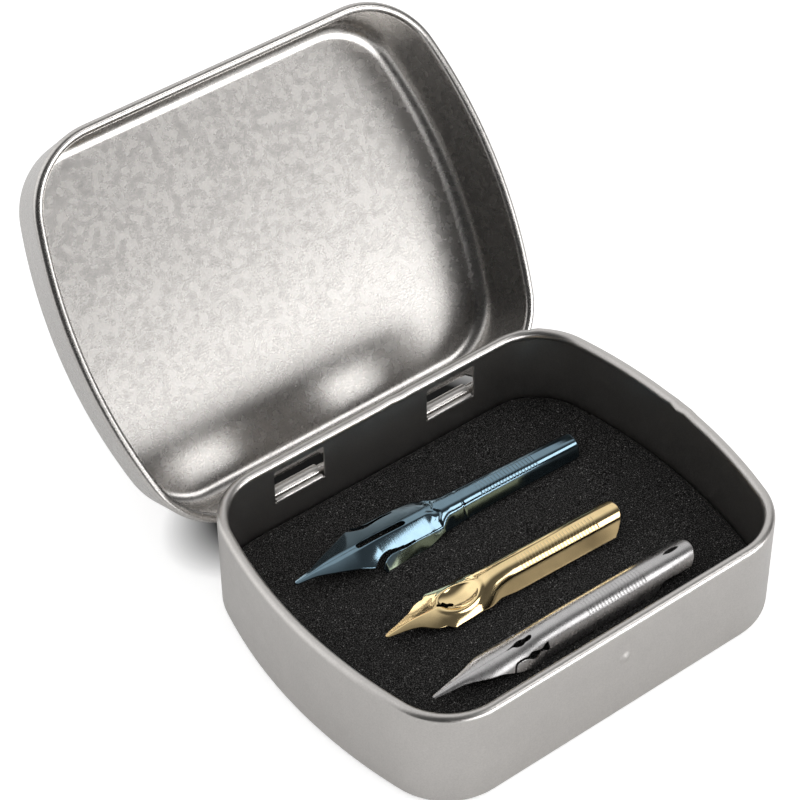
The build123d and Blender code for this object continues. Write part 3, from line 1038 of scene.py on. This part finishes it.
# ---------------------------------------------------------------- operators
class NIBTIN_OT_base(bpy.types.Operator):
    """Make the tin's base with its catch and hinge tongues"""
    bl_idname = "nibtin.base"
    bl_label = "Base"

    def execute(self, context):
        look = context.scene.nibtin_finishes
        finish = tinplate(look, "tinplate", roughness=0.34, grain_depth=0.03 * MM, speckle=0.2)
        make_base_shell(context.scene.nibtin_tin, finish)
        return {"FINISHED"}


class NIBTIN_OT_lid(bpy.types.Operator):
    """Make the tin's lid, open on its stop"""
    bl_idname = "nibtin.lid"
    bl_label = "Lid"

    def execute(self, context):
        look = context.scene.nibtin_finishes
        finish = tinplate(look, "tinplate_lid", roughness=0.27, grain_depth=0.01 * MM, speckle=0.4)
        make_lid_shell(context.scene.nibtin_tin, finish)
        return {"FINISHED"}


class NIBTIN_OT_foam(bpy.types.Operator):
    """Make the foam bed"""
    bl_idname = "nibtin.foam"
    bl_label = "Foam bed"

    def execute(self, context):
        make_foam_bed(context.scene.nibtin_tin, foam(context.scene.nibtin_finishes))
        return {"FINISHED"}


class NIBTIN_OT_blue_nib(bpy.types.Operator):
    """Make the blued nib"""
    bl_idname = "nibtin.blue_nib"
    bl_label = "Blued nib"

    def execute(self, context):
        look = context.scene.nibtin_finishes
        # The blued nib's far front flank gets painted shade, about a third of its colour.
        finish = nib_metal("blued_steel", look.blued, roughness=0.11, cross_grain=0.4,
                           ribs=(27.0, 36.0, -1.4, 0.6), far_painted_shade=0.34)
        make_blue_nib(context.scene.nibtin_nibs, finish)
        return {"FINISHED"}


class NIBTIN_OT_gold_nib(bpy.types.Operator):
    """Make the gilt nib"""
    bl_idname = "nibtin.gold_nib"
    bl_label = "Gilt nib"

    def execute(self, context):
        look = context.scene.nibtin_finishes
        finish = nib_metal("gilt_brass", look.gilt, roughness=0.12, cross_grain=0.15,
                           ribs=(19.0, 31.0, -1.8, 0.2))
        make_gold_nib(context.scene.nibtin_nibs, finish)
        return {"FINISHED"}


class NIBTIN_OT_grey_nib(bpy.types.Operator):
    """Make the plain steel nib"""
    bl_idname = "nibtin.grey_nib"
    bl_label = "Plain nib"

    def execute(self, context):
        look = context.scene.nibtin_finishes
        finish = nib_metal("plain_steel", look.steel, roughness=0.27, cross_grain=0.25,
                           ribs=(22.0, 31.0, -1.6, 0.4))
        make_grey_nib(context.scene.nibtin_nibs, finish)
        return {"FINISHED"}


class NIBTIN_OT_stage(bpy.types.Operator):
    """Make the floor, the light and the camera"""
    bl_idname = "nibtin.stage"
    bl_label = "Stage"

    def execute(self, context):
        look = context.scene.nibtin_stage
        make_camera(look)
        make_floor(look)
        make_world()
        make_lamp("key_panel", (0.47, -0.47, 0.74), 0.36, 0.34, 3.3)
        make_lamp("low_panel", (0.19, -0.34, 0.08), 0.26, 0.15, 1.2)
        context.scene.view_settings.view_transform = "Standard"
        return {"FINISHED"}


class NIBTIN_PT_panel(bpy.types.Panel):
    """Lists the sizes, the finishes and the operators"""
    bl_idname = "NIBTIN_PT_panel"
    bl_label = "Nib Tin"
    bl_space_type = "VIEW_3D"
    bl_region_type = "UI"
    bl_category = "Nib Tin"

    def draw(self, context):
        for group in GROUPS:
            box = self.layout.box()
            settings = getattr(context.scene, group)
            for name in settings.bl_rna.properties.keys():
                if name not in ("name", "rna_type"):
                    box.prop(settings, name)
        for operator in OPERATORS:
            self.layout.operator(operator.bl_idname)


GROUPS = {"nibtin_tin": TinSizes, "nibtin_nibs": NibSizes, "nibtin_finishes": Finishes,
          "nibtin_stage": StageLook}
OPERATORS = (NIBTIN_OT_base, NIBTIN_OT_lid, NIBTIN_OT_foam, NIBTIN_OT_blue_nib, NIBTIN_OT_gold_nib,
             NIBTIN_OT_grey_nib, NIBTIN_OT_stage)


def register():
    for kind in (*GROUPS.values(), *OPERATORS, NIBTIN_PT_panel):
        bpy.utils.register_class(kind)
    for name, kind in GROUPS.items():
        setattr(bpy.types.Scene, name, bpy.props.PointerProperty(type=kind))


def unregister():
    for name in GROUPS:
        delattr(bpy.types.Scene, name)
    for kind in (NIBTIN_PT_panel, *reversed(OPERATORS), *reversed(GROUPS.values())):
        bpy.utils.unregister_class(kind)


def main():
    register()
    bpy.ops.nibtin.stage()
    bpy.ops.nibtin.base()
    bpy.ops.nibtin.lid()
    bpy.ops.nibtin.foam()
    bpy.ops.nibtin.blue_nib()
    bpy.ops.nibtin.gold_nib()
    bpy.ops.nibtin.grey_nib()


if __name__ == "__main__":
    main()
